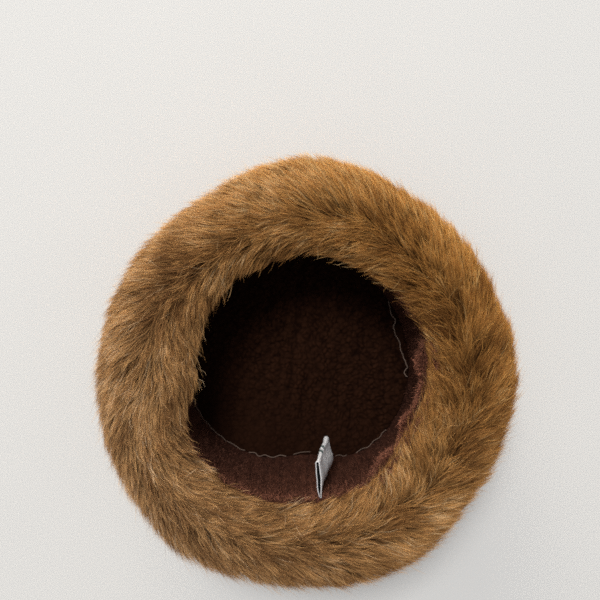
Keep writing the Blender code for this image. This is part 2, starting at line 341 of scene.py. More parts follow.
# A socket in a material. Arithmetic on it adds Math nodes, and node() adds any other node.
class Wire:
    def __init__(self, tree, socket=None):
        self.tree, self.socket = tree, socket

    def node(self, kind, settings=None, inputs=None, output=0):
        made = self.tree.nodes.new(kind)
        for name, value in (settings or {}).items():
            if name == "stops":
                ramp = made.color_ramp
                while len(ramp.elements) < len(value):
                    ramp.elements.new(1)
                for element, (place, colour) in zip(ramp.elements, value):
                    element.position, element.color = place, (*colour, 1)
            else:
                setattr(made, name, value)
        for name, value in (inputs or {}).items():
            if isinstance(value, Wire):
                self.tree.links.new(value.socket, made.inputs[name])
            else:
                made.inputs[name].default_value = value
        return Wire(self.tree, made.outputs[output])

    def math(self, operation, *values):
        return self.node("ShaderNodeMath", {"operation": operation}, dict(enumerate(values)))

    def __add__(self, other):
        return self.math("ADD", self, other)

    def __sub__(self, other):
        return self.math("SUBTRACT", self, other)

    def __rsub__(self, other):
        return self.math("SUBTRACT", other, self)

    def __mul__(self, other):
        return self.math("MULTIPLY", self, other)

    def __pow__(self, other):
        return self.math("POWER", self, other)

    __radd__ = __add__
    __rmul__ = __mul__

    def mix(self, colour, other):
        # this wire is the factor
        start, end = (value if isinstance(value, Wire) else (*value, 1) for value in (colour, other))
        return self.node("ShaderNodeMix", {"data_type": "RGBA"}, {0: self, 6: start, 7: end}, output=2)


# A Principled material: constants are set on the shader's own sockets, and varying ones are linked
def finishOf(name, constants, varying):
    material = bpy.data.materials.new(name)
    material.use_nodes = True
    tree = material.node_tree
    shader = tree.nodes["Principled BSDF"]
    for socket, value in constants.items():
        shader.inputs[socket].default_value = value
    for socket, wire in varying(Wire(tree)).items():
        tree.links.new(wire.socket, shader.inputs[socket])
    return material


def placeOf(wire):
    return wire.node("ShaderNodeTexCoord", output=3)


def uvOf(wire):
    return wire.node("ShaderNodeUVMap", {"uv_map": "UVMap"})


# The first two coordinates of a vector
def partsOf(vector):
    return [vector.node("ShaderNodeSeparateXYZ", inputs={"Vector": vector}, output=part) for part in (0, 1)]


def noiseOf(place, scale, detail, more=None):
    inputs = {"Vector": place, "Scale": scale, "Detail": detail, **(more or {})}
    return place.node("ShaderNodeTexNoise", inputs=inputs)


def bumpOf(height, strength, distance):
    inputs = {"Height": height, "Strength": strength, "Distance": distance}
    return height.node("ShaderNodeBump", inputs=inputs)


# A ramp over a factor, from pairs of a place and a grey
def greysOf(factor, pairs):
    stops = [(place, (grey,) * 3) for place, grey in pairs]
    return factor.node("ShaderNodeValToRGB", {"stops": stops}, {"Fac": factor})


# Factor of a stripe: 1 between two places, and fading to 0 over a width outside them
def stripeStops(low, high, fade):
    return [(low - fade, 0), (low, 1), (high, 1), (high + fade, 0)]


furLook = {
    "dark": (.120, .045, .011),
    "brown": (.392, .181, .054),
    "gold": (.760, .392, .124),
    "pale": (.920, .625, .325),
    # root: painted shade deep between the strands
    "root": (.026, .0095, .0028),
    # painted cool bounce light: more blue towards -X and -Y
    "paintedBounce": (-2.4, -1.9, .05),  # change of blue for each metre along X and Y, and everywhere
    "paintedBounceGreen": .25,
}


# Strand colour: the tone picks it between dark and light, and v darkens it towards the root: painted shade
# between the strands. Blue, and a quarter as much green, is multiplied by a linear function of the place,
# more towards -X and -Y: painted cool bounce light.
def furWires(wire):
    tone, along = partsOf(uvOf(wire))
    shades = ((0, "dark"), (.40, "brown"), (.72, "gold"), (1, "pale"))
    stops = [(place, furLook[shade]) for place, shade in shades]
    colour = wire.node("ShaderNodeValToRGB", {"stops": stops}, {"Fac": tone})
    # darker towards the root: painted shade between the strands
    reach = greysOf(along, ((0, 0), (.42, .36), (.80, 1)))
    # painted cool bounce light: blue, and a quarter as much green, raised towards -X and -Y
    placeX, placeY = partsOf(placeOf(wire))
    slopeX, slopeY, everywhere = furLook["paintedBounce"]
    paintedBounce = placeX * slopeX + placeY * slopeY + everywhere
    green, blue = paintedBounce * furLook["paintedBounceGreen"] + 1.0, paintedBounce + 1.0
    tint = wire.node("ShaderNodeCombineXYZ", inputs={"X": 1.0, "Y": green, "Z": blue})
    colour = reach.mix(furLook["root"], colour)
    tinted = wire.node("ShaderNodeVectorMath", {"operation": "MULTIPLY"}, {0: colour, 1: tint})
    return {"Base Color": tinted, "Roughness": .8 - along * .2}


furFinish = finishOf("brownFur", {"Specular IOR Level": .14}, furWires)


# Backing cloth under the fur: dark, with streaks of under-fur
def furSkinWires(wire):
    place = placeOf(wire)
    streaks = noiseOf(place, 420.0, 3.0)
    patches = noiseOf(place, 60.0, 2.0)
    colour = (streaks * .7 + patches * .3).mix((.032, .0135, .005), (.165, .076, .027))
    bump = bumpOf(streaks, .8, .0012)
    return {"Base Color": colour, "Normal": bump, "Roughness": .8 + streaks * .15}


furSkinFinish = finishOf("furBacking", {"Specular IOR Level": .2}, furSkinWires)

furSkin = {"columns": 180, "rows": 60, "backing": 6, "lumpSize": .012, "lumps": .16}


# Backing of the fur band: the fur's form moved in by the skin's depth, then up the lining to under the lip
def furSkinPoints():
    angle = np.linspace(0, fullTurn, furSkin["columns"], endpoint=False)
    station, angles = np.meshgrid(np.linspace(0, 9, furSkin["rows"]), angle, indexing="ij")
    normal = furFrame(station, angles)[2]
    ground = furPoint(station, angles)
    depth = smoothThrough(furForm["skin"], station)
    depth = depth * (1 + furSkin["lumps"] * softNoise(ground, furSkin["lumpSize"], 8))
    outer = ground - normal * depth[..., None]
    under = liningTop() + hatForm["furGap"]
    heights = np.linspace(hatForm["crownFur"], under, furSkin["backing"])
    heights = np.concatenate(([hatForm["crownSeam"]], heights))
    height, around = np.meshgrid(heights, angle, indexing="ij")
    inner = polar(liningRadius(around, height) + hatForm["liningWall"] + hatForm["furGap"], around, height)
    return np.concatenate((outer, inner), axis=0)


putIn("fur_backing", ringMesh("fur_backing", furSkinPoints()), furSkinFinish, ["fur_band"])
print("fur backing made")

# Strands, one row for each piece: how many, from and to which station, length, width, v at the root, seed
furPieces = {
    "fur_mouth": (22000, 0.0, 1.4, .0185, .00035, 0, 21),
    "fur_rim": (39000, 1.4, 3.1, .0225, .00036, 0, 22),
    "fur_shoulder": (34000, 3.1, 4.7, .0255, .00040, .10, 23),
    "fur_side": (35000, 4.7, 8.9, .0300, .00058, .34, 24),
}
# Strands gather into wisps, and wisps into locks: cells round the hat, cell size, pull at the tip, and how
# much a cell changes its strands' height, length, turn and tone
furLocks = {
    "round": 70, "size": .0060, "pull": .32, "seed": 31,
    "lift": .0012, "length": .14, "turn": .15, "tone": .085,
}
furWisps = {
    "round": 205, "size": .0026, "pull": .55, "seed": 32,
    "lift": .0009, "length": .13, "turn": .15, "tone": .115,
}
furTips = {
    "rows": 4, "height": .0022, "spread": .0008, "turn": .16, "curl": .34, "tone": .125, "wobble": .00030,
    "ragged": .34, "tangle": 1.1, "tangleAngle": 15, "roll": 1.15,
}
# A few strands stand off the rest: their share, and how much higher, more turned, finer and paler they are
furFly = {"share": .08, "height": (.001, .0065), "turn": .5, "width": .62, "tone": .22, "past": .5}
# Tone by place: random patches; painted shade in the parting and at the mouth, most on its far side; painted
# light at the outline and on the far side, with painted shade on the near side
furShade = {
    "base": .512, "patches": .09, "parting": .13, "partingWidth": .30, "outline": .16,
    "mouth": .20, "mouthAngle": 85, "far": .07, "paintedLightAngle": 100, "fringe": .0020,
}
# Hollows where the fur divides, darker with painted shade, and swells paler with painted light: angle,
# station, half widths of both, how much darker as painted shade (below 0, paler as painted light) and how
# much lower
furHollows = (
    (0, 1.2, 3.0, .60, .22, .0012), (-2, 2.4, 2.4, .80, .20, .0009), (-9, 2.5, 3.6, .90, -.18, -.0010),
    (-28, 2.3, 5.0, .28, .24, .0012), (-64, 1.7, 5.0, .30, .22, .0012), (-102, 2.2, 8.0, .20, .20, .0012),
    (157, 2.1, 6.0, .22, .16, .0010), (191, 2.5, 9.0, .22, .14, .0010), (221, 2.9, 5.0, .25, .14, .0010),
    (116, 1.7, 7.0, .25, .16, .0010), (74, 2.6, 4.0, .35, .20, .0012), (59, 2.0, 6.0, .30, .18, .0012),
    (20, 1.1, 5.0, .30, .14, .0010), (-42, 1.1, 12, .80, -.10, 0), (-54, 2.7, 11, .90, -.28, -.0008),
    (190, 1.0, 12, .60, .26, 0), (143, 1.5, 16, .90, .12, 0), (180, 2.3, 12, .60, -.06, 0),
    (225, 4.6, 10, 1.8, -.03, -.0038), (207, 3.7, 13, .90, -.09, -.0006), (316, 4.6, 9, 1.8, 0, .0038),
    (-52, 1.6, 12, .90, -.06, 0), (0, 2.6, 26, 1.2, .08, 0), (128, 2.2, 15, .95, .13, 0),
    (22, .7, 20, .80, .07, 0), (216, 2.0, 14, .90, .11, 0), (23, 1.3, 17, .90, .19, 0),
    (88, 3.6, 34, 1.5, -.18, -.0005), (-20, 3.2, 10, .80, .06, 0),
)


# Tone and height offsets: painted shade in a bell over the parting and in each hollow, painted light on the
# swells, painted light in ramps towards the outline and the far side, painted shade in a ramp towards the
# mouth
def furShading(station, angle, points):
    parting = furParting(angle, points)
    # painted shade along the parting
    bell = np.exp(-((station - parting) / furShade["partingWidth"]) ** 2)
    uneven = .7 + .5 * softNoise(points, .030, 6)
    tone = furShade["patches"] * softNoise(points, .045, 5) - furShade["parting"] * bell * uneven
    outer = np.clip((station - 3.2) / 1.6, 0, 1)
    # painted light towards the outline; paler on the far side and darker on the near side, painted light and
    # shade
    paintedLightSide = np.cos(angle - math.radians(furShade["paintedLightAngle"]))
    tone = tone + furShade["outline"] * outer + furShade["far"] * paintedLightSide
    # painted shade towards the mouth, most on its far side
    shaded = .3 + .7 * np.clip(np.cos(angle - math.radians(furShade["mouthAngle"])), 0, 1)
    tone = tone - furShade["mouth"] * np.clip(1 - station / 1.1, 0, 1) * shaded
    lower = -furShade["fringe"] * outer
    # painted shade in the hollows, painted light on the swells
    for place, level, halfAngle, halfStation, darker, drop in furHollows:
        apart = np.degrees(apartFrom(angle, math.radians(place)))
        bell = np.exp(-(apart / halfAngle) ** 2 - ((station - level) / halfStation) ** 2)
        tone, lower = tone - darker * bell, lower + drop * bell
    return tone, lower


profile = np.linspace(0, 9, 361)
profileSteps = np.linalg.norm(np.diff(furPoint(profile, np.zeros_like(profile)), axis=0), axis=1)
profileArc = np.concatenate(([0], np.cumsum(profileSteps)))


def stationAtArc(arc):
    return np.interp(arc, profileArc, profile)


lockChanges = ("lift", "length", "turn", "tone")


# Lock centres: one for each cell of a grid round the hat and along its cross-section, at random in its cell
def lockGrid(form):
    chance = np.random.default_rng(form["seed"])
    shape = (form["round"], int(profileArc[-1] / form["size"]) + 1)
    column, row = np.meshgrid(np.arange(shape[0]), np.arange(shape[1]), indexing="ij")
    grid = {"u": column + chance.uniform(0, 1, shape), "v": row + chance.uniform(0, 1, shape)}
    for change in lockChanges:
        grid[change] = chance.normal(0, 1, shape) * form[change]
    return grid


# Nearest of the nine lock centres round a strand's cell, by distance on the form
def nearestLock(form, grid, angle, arc, radius):
    around, levels = grid["u"].shape
    u, v = angle / fullTurn * around, arc / form["size"]
    column, row = np.floor(u).astype(int), np.floor(v).astype(int)
    best = np.full(u.shape, 1e9)
    chosen = np.zeros(u.shape, int), np.zeros(u.shape, int)
    for stepU in (-1, 0, 1):
        for stepV in (-1, 0, 1):
            wrapped = (column + stepU) % around
            level = np.clip(row + stepV, 0, levels - 1)
            apart = (grid["u"][wrapped, level] - u + around / 2) % around - around / 2
            distance = (apart * fullTurn / around * radius) ** 2
            distance = distance + ((grid["v"][wrapped, level] - v) * form["size"]) ** 2
            nearer = distance < best
            best = np.where(nearer, distance, best)
            chosen = np.where(nearer, wrapped, chosen[0]), np.where(nearer, level, chosen[1])
    lock = {name: values[chosen] for name, values in grid.items()}
    lock["angle"] = lock["u"] / around * fullTurn
    lock["station"] = stationAtArc(np.clip(lock["v"] * form["size"], 0, profileArc[-1]))
    return lock


# Each strand grows along the flow, pulled towards the paths of its lock and its wisp, more towards the tip
def furStrands(name, settings):
    most, stationFrom, stationTo, longest, widest, rootShade, seed = settings
    chance = np.random.default_rng(seed)
    rows = furTips["rows"]
    arcFrom, arcTo = np.interp((stationFrom, stationTo), profile, profileArc)
    # more strands where the form is wider: keep a share of the draws by radius
    arc = chance.uniform(arcFrom, arcTo, most * 2)
    radius = smoothThrough(furForm["radius"], stationAtArc(arc))
    kept = chance.uniform(0, radius.max(), len(arc)) < radius
    arc, radius = arc[kept][:most], radius[kept][:most]
    angle = chance.uniform(0, fullTurn, len(arc))
    kept = stationAtArc(arc) > furOpened(angle)
    arc, radius, angle = arc[kept], radius[kept], angle[kept]
    count, station = len(arc), stationAtArc(arc)
    groups = [(form, nearestLock(form, grid, angle, arc, radius)) for form, grid in furGroups]
    lift, longer, turn, tone = (sum(group[change] for _, group in groups) for change in lockChanges)
    length = longest * (1 + longer) * chance.uniform(.78, 1.12, count)
    shade, lower = furShading(station, angle, furPoint(station, angle))
    tip = furTips["height"] + lift - lower + chance.normal(0, furTips["spread"], count)
    # more tangled inside the parting on the right
    inner = np.clip((roundHat(furFlow["parting"], angle) + .4 - station) / .8, 0, 1)
    onRight = np.clip(np.cos(angle - math.radians(furTips["tangleAngle"])), 0, 1)
    tangle = 1 + furTips["tangle"] * inner * onRight
    ownTurn = turn + chance.normal(0, furTips["turn"], count) * tangle
    curl = chance.normal(0, furTips["curl"], count) * tangle
    fly = chance.uniform(0, 1, count) < furFly["share"]
    tip = tip + fly * chance.uniform(*furFly["height"], count)
    ownTurn = ownTurn + fly * chance.normal(0, furFly["turn"], count)
    past = furTips["ragged"] * chance.uniform(0, 1, count) ** 2
    past = past + fly * chance.uniform(0, furFly["past"], count)
    own, normals = growStrands(station, angle, length, ownTurn, curl, tip, rows, past)
    share = np.linspace(0, 1, rows)[None, :, None]
    paths = own.copy()
    for form, group in groups:
        start, towards = (group["station"], group["angle"]), group["turn"]
        led, _ = growStrands(*start, length, towards, 0 * curl, tip, rows, past)
        pull = (np.clip(chance.normal(form["pull"], .16, count), 0, .9) * (1 - .8 * fly))[:, None, None]
        paths = paths + (led - own) * share ** 1.2 * pull
    paths = paths + chance.normal(0, furTips["wobble"], paths.shape) * share
    tone = furShade["base"] + shade + tone + chance.normal(0, furTips["tone"], count) + fly * furFly["tone"]
    paths[..., 2] = np.maximum(paths[..., 2], .0006)
    width = widest * chance.uniform(.7, 1.25, count) * np.where(fly, furFly["width"], 1)
    roll = chance.uniform(-furTips["roll"], furTips["roll"], count)
    return strandMesh(name, paths, normals, width, roll, tone, rootShade)


furGroups = [(form, lockGrid(form)) for form in (furLocks, furWisps)]
for name, settings in furPieces.items():
    piece = putIn(name, furStrands(name, settings), furFinish)
    print(name, "made,", len(piece.data.vertices) // (2 * furTips["rows"] - 1), "strands")

crownPelt = {
    "columns": 160, "strands": 7500, "length": .0200, "width": .00060, "rows": 4,
    "edge": .0085, "edgeTop": .0105,  # how far strands start past the seam, and the highest at the edge
    "heading": 1.1, "tone": .42, "toneSpread": .18,  # heading is the whirl, in radians from straight outwards
}


# Crown fur: the disc's edge swells past the seam as the CAD's does, between a flat underside and a flat top
def crownPeltPoints():
    angle = np.linspace(0, fullTurn, crownPelt["columns"], endpoint=False)
    # share of the seam's radius, spread past it, and height
    rows = (
        (.02, 0, .0265), (.6, 0, .0265), (1, 0, .0265), (1, 0, .0120), (1, .0020, .0095), (1, .0065, .0062),
        (1, .0075, .0040), (1, .0060, .0022), (1, -.0040, .0012), (.6, 0, .0010), (.02, 0, .0010),
    )
    rings = []
    for share, spread, height in rows:
        radius = (roundHat(hatForm["seam"], angle) + hatForm["liningWall"]) * share + spread
        rings.append(polar(radius, angle, np.full_like(angle, height)))
    return np.stack(rings)


putIn("crown_backing", endedMesh("crown_backing", crownPeltPoints()), furSkinFinish, ["crown_fur"])


# Crown strands: pressed flat under the crown in a slow whirl, and turned outwards at its edge
def crownStrands():
    chance = np.random.default_rng(41)
    count = crownPelt["strands"]
    share = np.sqrt(chance.uniform(0, 1.12, count))
    angle = chance.uniform(0, fullTurn, count)
    length = crownPelt["length"] * chance.uniform(.7, 1.1, count)
    edge = roundHat(hatForm["seam"], angle) + crownPelt["edge"]
    radius = np.minimum(share, 1) * edge
    atEdge = share > 1
    lift = np.where(atEdge, chance.uniform(.001, crownPelt["edgeTop"], count), .0012)
    heading = crownPelt["heading"] + .25 * softNoise(polar(radius, angle, 0 * angle), .04, 9)
    heading = heading + chance.normal(0, .12, count)
    last = crownPelt["rows"] - 1
    paths = []
    radiusAt, angleAt = radius - length * .35, angle
    for row in range(crownPelt["rows"]):
        paths.append(polar(radiusAt, angleAt, np.maximum(lift * (1 - .25 * row / last), .0004)))
        radiusAt = radiusAt + length / last * np.cos(heading)
        angleAt = angleAt + length / last * np.sin(heading) / np.maximum(radiusAt, .01)
    outward = polar(np.where(atEdge, 1.0, .0), angle, np.where(atEdge, .0, -1.0))
    tone = crownPelt["tone"] + chance.normal(0, crownPelt["toneSpread"], count)
    width = crownPelt["width"] * chance.uniform(.7, 1.25, count)
    roll = chance.uniform(-.4, .4, count)
    return strandMesh("fur_crown", np.stack(paths, axis=1), unit(outward)[:, None], width, roll, tone)


putIn("fur_crown", crownStrands(), furFinish)
print("crown fur made")

# Plush wall inside
plush = {
    "columns": 300, "rows": 40, "ribs": 64, "ribDepth": .0004,
    "joinAngle": math.radians(-89.0), "joinWidth": .0016, "joinDepth": .0012, "joinRadius": .085,
    "strands": 24000, "tuftStrands": 11000, "length": .0026, "width": .00034, "roll": .0130,
    "rollHeight": .1190, "rollFoot": .0400,  # up to where the roll is full, and how far below that it starts
    # paler near the rim with painted light
    "low": .030, "rimFrom": .098, "rimOver": .022,  # pile starts at low, and is longer and paler near the rim
    "rolledFrom": .078, "rolledOver": .036,
    # the tufts' tone is paler than the wall's pile: painted light on the rolled edge
    "tone": .155, "toneSpread": .04, "tuftTone": .54, "tuftToneSpread": .11,
    "tuftLow": .0230, "tuftHigh": .0020,  # below the lining's top
}


# Where the lining's edge rolls in over itself: angle, half width in degrees, how strongly
plushRolls = ((7, 8, .80), (-8, 7, .50), (-25, 11, 1), (-47, 9, .75), (36, 9, .30), (-86, 22, .15))


# Share of the full roll: the sum of a bell at each of these places, at most 1
def rolledIn(angle):
    total = 0
    for place, halfWidth, strength in plushRolls:
        apart = np.degrees(apartFrom(angle, math.radians(place)))
        total = total + strength * np.exp(-(apart / halfWidth) ** 2)
    return np.minimum(total, 1)


# How far the wall stands inwards near its top: a bell in the height, its foot drawn out
def rollDepth(angle, height):
    below = np.clip((plush["rollHeight"] - height) / plush["rollFoot"], 0, 1)
    return plush["roll"] * rolledIn(angle) * (1 - eased(below))


def plushWires(wire):
    uv = uvOf(wire)
    place = placeOf(wire)
    stretched = wire.node("ShaderNodeMapping", inputs={"Vector": uv, "Scale": (1.5, 60, 1)})
    stripes = noiseOf(stretched, 2.4, 4.0, {"Roughness": .65})
    tufts = noiseOf(place, 700.0, 3.0)
    patches = noiseOf(place, 45.0, 2.0)
    height = stripes * .6 + tufts * .4
    colour = (stripes * 1.5 + tufts * .4 + patches * .3 - .60).mix((.013, .0045, .0030), (.125, .045, .027))
    bump = bumpOf(height, .9, .0010)
    return {"Base Color": colour, "Normal": bump, "Roughness": .85 + tufts * .1}


plushFinish = finishOf("plushLining", {"Specular IOR Level": .10}, plushWires)


# Wall of the lining: up the inner face, over a half-round top edge and down the outer face
def plushPoints():
    bottom = hatForm["crownFur"] + hatForm["gap"]
    roll = hatForm["liningWall"] / 2
    top = liningTop() - roll
    inner = np.linspace(bottom, top, plush["rows"])
    bend = np.linspace(0, math.pi, 8)[1:-1]
    outer = np.linspace(top, bottom, 8)
    heights = np.concatenate((inner, top + roll * np.sin(bend), outer))
    shares = np.concatenate((inner * 0, .5 - .5 * np.cos(bend), outer * 0 + 1))
    angle = np.linspace(0, fullTurn, plush["columns"], endpoint=False)
    height, around = np.meshgrid(heights, angle, indexing="ij")
    share = np.broadcast_to(shares[:, None], height.shape)
    radius = liningRadius(around, height) + hatForm["liningWall"] * share
    ground = polar(radius, around, height)
    onInside = np.clip(1 - share * 2, 0, 1)
    low = np.clip((height - bottom) / .006, 0, 1)
    ribs = np.sin(around * plush["ribs"] + 2.2 * softNoise(ground, .03, 15)) * plush["ribDepth"]
    nubs = softNoise(ground, .0035, 16, 12) * .0005 + softNoise(ground, .009, 17) * .0005
    apart = apartFrom(around, plush["joinAngle"])
    join = np.exp(-(apart * plush["joinRadius"] / plush["joinWidth"]) ** 2) * plush["joinDepth"]
    # beside the join the pile puffs up
    puff = np.exp(-((np.abs(apart) * plush["joinRadius"] - .004) / .003) ** 2) * .0006
    inward = (ribs + nubs + puff - join) * onInside * low + rollDepth(around, height) * (1 - share)
    return polar(radius - inward, around, height)


putIn("plush_wall", ringMesh("plush_wall", plushPoints()), plushFinish, ["side_lining"])


def pileWires(wire):
    tone, along = partsOf(uvOf(wire))
    colour = tone.mix((.030, .0105, .0068), (.700, .275, .165))
    # darker towards the root: painted shade between the pile's strands
    reach = along ** .5
    return {"Base Color": reach.mix((.024, .0085, .0052), colour), "Roughness": .85 - along * .1}


pileFinish = finishOf("plushPile", {"Specular IOR Level": .15}, pileWires)


# Unit vectors at an angle: towards the hat's middle, and round it
def inwardAndRound(angle):
    one, zero = np.ones(len(angle)), np.zeros(len(angle))
    return -polar(one, angle, zero), polar(one, angle + math.pi / 2, zero)


upwards = np.array((0, 0, 1.0))


# Pile of the plush: short curly strands that stand off the wall, in ribs down the wall, longer near the rim,
# and paler there and on the rolled edge with painted light. A strand's line is share times out, share ** 1.6
# times its bend and a sine of share times its curl.
def plushPile():
    chance = np.random.default_rng(51)
    count = plush["strands"]
    height = plush["low"] + (liningTop() - plush["low"] - .0004) * chance.uniform(0, 1, count) ** .62
    angle = chance.uniform(0, fullTurn, count)
    ground = polar(liningRadius(angle, height) - rollDepth(angle, height) + .0003, angle, height)
    out, around = inwardAndRound(angle)
    nearRim = np.clip((height - plush["rimFrom"]) / plush["rimOver"], 0, 1)
    rolled = rolledIn(angle) * np.clip((height - plush["rolledFrom"]) / plush["rolledOver"], 0, 1)
    tufts = softNoise(ground, .0042, 52, 12)
    longer = 1 + nearRim * (.6 + .5 * tufts) + rolled * .4
    length = plush["length"] * chance.uniform(.6, 1.2, count) * longer
    drift = chance.normal(0, .6, count) + nearRim * 1.2 * softNoise(ground, .005, 53)
    climb = chance.normal(.1, .5, count) + nearRim * .9 * softNoise(ground, .005, 54) + rolled * .6
    turn = chance.uniform(0, fullTurn, count)
    share = np.linspace(0, 1, 3)[None, :, None]
    bend = around * drift[:, None] + upwards * climb[:, None]
    curl = around * np.cos(turn)[:, None] + upwards * np.sin(turn)[:, None]
    lift = out[:, None] * share * .8 + bend[:, None] * share ** 1.6 * .7
    lift = lift + curl[:, None] * np.sin(share * 5) * .22
    paths = ground[:, None] + length[:, None, None] * lift
    ribs = softNoise(ground * (1, 1, .08), .0075, 55, 10)
    # painted light: paler near the rim and on the rolled edge
    paintedRimLight = nearRim * (.24 + .14 * tufts) + rolled * (.24 + .10 * tufts)
    tone = plush["tone"] + .07 * ribs + paintedRimLight + chance.normal(0, plush["toneSpread"], count)
    width = plush["width"] * chance.uniform(.7, 1.3, count)
    roll = chance.uniform(-1.2, 1.2, count)
    return strandMesh("plush_pile", paths, unit(out + .6 * upwards)[:, None], width, roll, tone)


# Tufts over the rolled edge: roots go from the wall over its top to where the fur starts, by straight pieces
# between four places, and each stands between inwards and up, nearer to up the further it is along
def plushRim():
    chance = np.random.default_rng(57)
    count = plush["tuftStrands"]
    angle = chance.uniform(-math.pi / 2.2, math.pi / 3.2, count * 6)
    angle = angle[chance.uniform(0, 1, len(angle)) < rolledIn(angle)][:count]
    count = len(angle)
    top = liningTop()
    low, high = np.full(count, top - plush["tuftLow"]), np.full(count, top - plush["tuftHigh"])
    places = np.stack((
        polar(liningRadius(angle, low) - rollDepth(angle, low), angle, low),
        polar(liningRadius(angle, high) - rollDepth(angle, high), angle, high),
        furPoint(np.full(count, -.12), angle),
        furPoint(furOpened(angle) + .12, angle),
    ), axis=1)
    place = 3 * chance.uniform(0, 1, count)
    row = np.minimum(place.astype(int), 2)
    share = (place - row)[:, None]
    each = np.arange(count)
    ground = places[each, row] * (1 - share) + places[each, row + 1] * share
    inward, around = inwardAndRound(angle)
    upward = np.clip(place / 1.6, .15, 1)[:, None]
    normal = unit(inward * (1.1 - upward) + upwards * upward)
    tufts = softNoise(ground, .0045, 58, 12)
    length = plush["length"] * chance.uniform(.8, 1.6, count) * (1.2 + .5 * tufts)
    turn = chance.uniform(0, fullTurn, count)
    side = inward * np.cos(turn)[:, None] + around * np.sin(turn)[:, None]
    share = np.linspace(0, 1, 4)[None, :, None]
    lift = normal[:, None] * share * .7 + side[:, None] * (share ** 1.5 * .6 + np.sin(share * 5) * .25)
    raised = ground[:, None] + normal[:, None] * (.0004 + .0008 * tufts[:, None, None])
    paths = raised + length[:, None, None] * lift
    # paler than the wall's pile: painted light on the rolled edge
    tone = plush["tuftTone"] + .22 * tufts + chance.normal(0, plush["tuftToneSpread"], count)
    width = plush["width"] * chance.uniform(.7, 1.3, count)
    roll = chance.uniform(-1.2, 1.2, count)
    return strandMesh("plush_rim", paths, normal[:, None], width, roll, tone)


for name, mesh in (("plush_pile", plushPile()), ("plush_rim", plushRim())):
    putIn(name, mesh, pileFinish)
print("plush wall made")

# Fleece inside the crown
fleece = {
    "steps": 212, "nub": .0043, "height": .0020, "thickness": .0030, "crackWidth": .34, "wander": .0011,
    "waves": .0008, "edgeShare": .05, "edgeDrop": .0006,
    "wornAlong": (-.35, -.75), "wornFrom": .012, "wornOver": .045, "wornBy": .55, "wornTo": .35,
}


# Nubs: for each point, the distances to the nearest and next nearest of jittered centres. A nub is a dome
# over the nearest, with a crack where the two distances meet.
def nubHeights(points, size, seed):
    chance = np.random.default_rng(seed)
    cells = 96
    jitter = chance.uniform(0, 1, (cells, cells, 2))
    grow = chance.uniform(.75, 1.2, (cells, cells))
    place = points[..., :2] / size + cells / 2
    cell = np.floor(place).astype(int)
    nearest = np.full(place.shape[:-1], 9.0)
    second = nearest.copy()
    for stepX in (-1, 0, 1):
        for stepY in (-1, 0, 1):
            column = (cell[..., 0] + stepX) % cells
            row = (cell[..., 1] + stepY) % cells
            centre = cell + (stepX, stepY) + jitter[column, row]
            distance = np.linalg.norm(place - centre, axis=-1) / grow[column, row]
            second = np.minimum(second, np.maximum(nearest, distance))
            nearest = np.minimum(nearest, distance)
    edge = np.clip((second - nearest) / fleece["crackWidth"], 0, 1) ** .6
    # cracks close here and there
    crack = (1 - edge) * np.clip(.75 + .6 * softNoise(points, .010, seed + 4), .25, 1)
    return (1 - crack) * (1 - .25 * np.clip(nearest, 0, 1) ** 2)


# Square to disc: the larger coordinate gives the radius, and the ratio of the two gives the angle
def discGrid(steps):
    a, b = np.meshgrid(np.linspace(-1, 1, steps), np.linspace(-1, 1, steps), indexing="ij")
    wide = np.abs(a) > np.abs(b)
    safeA, safeB = np.where(a == 0, 1e-9, a), np.where(b == 0, 1e-9, b)
    radius = np.where(wide, a, b)
    angle = np.where(wide, math.pi / 4 * (b / safeA), math.pi / 2 - math.pi / 4 * (a / safeB))
    angle = np.where(radius < 0, angle + math.pi, angle)
    return np.abs(radius), angle


# Fleece: the nubs stand over a flat disc, and a wall round its border goes down to one face underneath
def fleeceMesh():
    steps = fleece["steps"]
    share, angle = discGrid(steps)
    radius = share * (roundHat(hatForm["seam"], angle) - hatForm["gap"])
    bottom = hatForm["crownFur"] + hatForm["gap"]
    flat = polar(radius, angle, np.full_like(radius, bottom + fleece["thickness"]))
    wander = np.stack((softNoise(flat, .007, 61), softNoise(flat, .007, 62), 0 * radius), axis=-1)
    nubs = nubHeights(flat + wander * fleece["wander"], fleece["nub"], 63)
    nubs = nubs * (.86 + .25 * softNoise(flat, .011, 65)) + .16 * softNoise(flat, .0026, 66, 12)
    nubs = np.clip(nubs, 0, 1.2)
    # worn smooth towards one side
    wornX, wornY = fleece["wornAlong"]
    worn = wornX * flat[..., 0] + wornY * flat[..., 1] - fleece["wornFrom"]
    worn = np.clip(worn / fleece["wornOver"], 0, 1)
    nubs = nubs * (1 - fleece["wornBy"] * worn) + fleece["wornTo"] * worn
    waves = softNoise(flat, .05, 64) * fleece["waves"]
    edge = np.clip((1 - share) / fleece["edgeShare"], 0, 1)
    top = flat.copy()
    top[..., 2] += (nubs - .75) * fleece["height"] * edge + waves * edge - fleece["edgeDrop"] * (1 - edge)
    index = pointNumbers(steps, steps)
    quads = cellsOf(index).reshape(-1, 4)
    border = np.concatenate((index[0, :-1], index[:-1, -1], index[-1, :0:-1], index[:0:-1, 0]))
    lower = top.reshape(-1, 3)[border].copy()
    lower[:, 2] = bottom
    ring = steps * steps + np.arange(len(border))
    wall = np.stack((border, np.roll(border, -1), np.roll(ring, -1), ring), axis=-1)
    mesh = bpy.data.meshes.new("fleece_crown")
    everything = np.concatenate((top.reshape(-1, 3), lower))
    mesh.from_pydata(everything.tolist(), [], quads.tolist() + wall.tolist() + [ring.tolist()])
    # the nub height, which also paints shade into the cracks
    layer = mesh.attributes.new("nubs", "FLOAT", "POINT")
    layer.data.foreach_set("value", np.append(nubs.ravel(), np.zeros(len(border))).astype(np.float32))
    mesh.shade_smooth()
    return mesh


